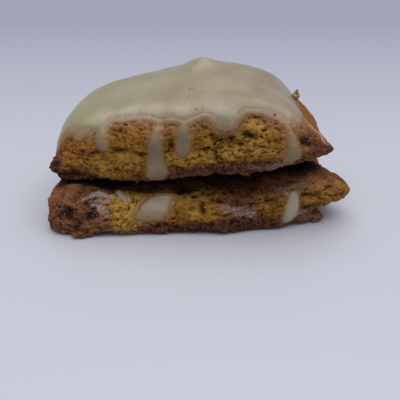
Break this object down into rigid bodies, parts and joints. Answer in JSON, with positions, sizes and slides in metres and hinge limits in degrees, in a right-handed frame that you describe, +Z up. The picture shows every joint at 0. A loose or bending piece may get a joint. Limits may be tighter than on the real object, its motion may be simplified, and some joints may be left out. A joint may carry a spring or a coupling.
{
  "type": "scone",
  "caption": "Small glazed scone, torn along one side and split into stacked layers, with icing over the top that runs down in drips.",
  "frame": {"origin": "middle of the footprint's box, on the ground", "axes": "+X to the right along the torn side, +Y away from it to the back, +Z up"},
  "size_m": [0.077, 0.0632, 0.0358],
  "materials": {
    "lower_crumb": "matte baked crumb and crust",
    "upper_crumb": "matte golden crumb",
    "icing": "satin cream icing"
  },
  "bodies": {
    "root": {"lower_layer": "lower_crumb", "upper_layer": "upper_crumb", "icing": "icing", "icing_patch_middle": "icing", "icing_patch_right": "icing"}
  },
  "joints": []
}
